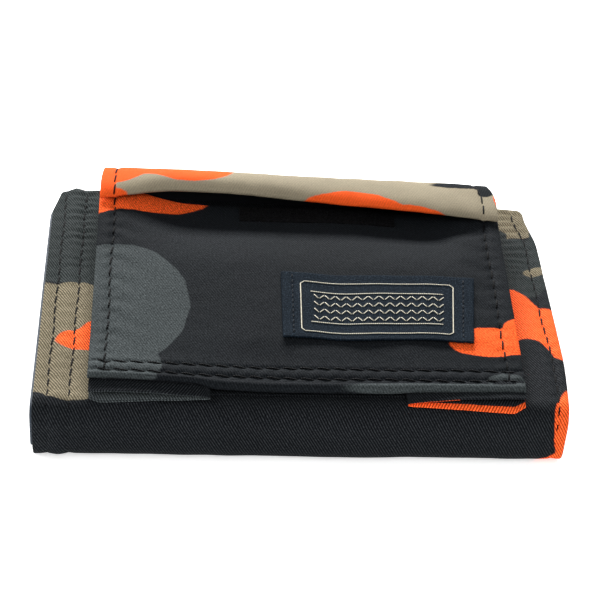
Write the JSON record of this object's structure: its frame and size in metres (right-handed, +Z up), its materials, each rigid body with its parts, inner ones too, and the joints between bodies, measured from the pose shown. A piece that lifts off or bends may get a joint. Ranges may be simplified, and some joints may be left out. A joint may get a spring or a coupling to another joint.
{
  "type": "trifold wallet",
  "caption": "Closed trifold wallet of camouflage nylon twill with an outside coin pocket, which has V-folded gussets, a woven label and a flap over its mouth.",
  "frame": {"origin": "middle of the wallet's footprint, on the face that it lies on", "axes": "+X along the folds, away from the open side of the bill compartment; +Y from the near fold to the far fold; +Z up"},
  "size_m": [0.112, 0.082, 0.0237],
  "materials": {
    "camo_nylon": "twill weave, low sheen, printed in charcoal, grey-green, khaki and orange",
    "lining": "plain weave, slightly glossy",
    "pocket_cloth": "plain weave, matte",
    "foam": "soft foam sheet",
    "thread": "twisted polyester thread",
    "label": "damask weave with a cream frame",
    "hook_tape": "moulded hooks",
    "loop_tape": "brushed loops",
    "window_film": "clear film"
  },
  "bodies": {
    "back": {"shell_back": "camo_nylon", "foam_back": "foam", "lining_back": "lining", "divider_back": "pocket_cloth", "card_pocket_back_1": "pocket_cloth", "card_pocket_back_2": "pocket_cloth", "card_pocket_back_3": "pocket_cloth", "stitching_back": "thread"},
    "inner": {"shell_inner": "camo_nylon", "foam_inner": "foam", "lining_inner": "lining", "divider_inner": "pocket_cloth", "card_pocket_inner_1": "pocket_cloth", "card_pocket_inner_2": "pocket_cloth", "closure_loop_tape": "loop_tape", "stitching_inner": "thread"},
    "spine": {"shell_spine": "camo_nylon", "lining_spine": "lining", "divider_spine": "pocket_cloth", "stitching_spine": "thread"},
    "front": {"shell_front": "camo_nylon", "foam_front": "foam", "lining_front": "lining", "divider_front": "pocket_cloth", "id_window": "window_film", "id_pocket_frame": "pocket_cloth", "closure_hook_tape": "hook_tape", "stitching_front": "thread", "coin_base_panel": "camo_nylon", "coin_back_wall": "camo_nylon", "coin_gusset_left": "camo_nylon", "coin_gusset_right": "camo_nylon"},
    "coin_front": {"coin_front_panel": "camo_nylon", "coin_front_lining": "lining", "coin_front_hem": "camo_nylon", "woven_label": "label", "coin_loop_tape": "loop_tape", "stitching_coin_pocket": "thread"},
    "coin_flap": {"coin_flap": "camo_nylon", "coin_flap_lining": "lining", "coin_hook_tape": "hook_tape", "stitching_flap": "thread"}
  },
  "joints": [
    {"name": "front_fold", "type": "hinge", "parent": "spine", "child": "front", "pos_m": [0, -0.03953, 0.01258], "axis": [1, 0, 0], "range_deg": [0, 90]},
    {"name": "spine_fold", "type": "hinge", "parent": "back", "child": "spine", "pos_m": [0, -0.03953, 0.00132], "axis": [1, 0, 0], "range_deg": [0, 90]},
    {"name": "inner_fold", "type": "hinge", "parent": "back", "child": "inner", "pos_m": [0, 0.041, 0.00387], "axis": [-1, 0, 0], "range_deg": [0, 90]},
    {"name": "coin_flap_lift", "type": "hinge", "parent": "front", "child": "coin_flap", "pos_m": [0, 0.0385, 0.0223], "axis": [-1, 0, 0], "range_deg": [0, 150]},
    {"name": "coin_mouth", "type": "hinge", "parent": "front", "child": "coin_front", "pos_m": [0, -0.036, 0.01505], "axis": [1, 0, 0], "range_deg": [0, 15], "deforming": ["coin_gusset_left", "coin_gusset_right"]}
  ],
  "couplings": [
    {"joint": "spine_fold", "follows": "front_fold", "ratio": 1},
    {"joint": "inner_fold", "follows": "front_fold", "ratio": 1},
    {"joint": "coin_mouth", "follows": "coin_flap_lift", "ratio": 0.1}
  ]
}
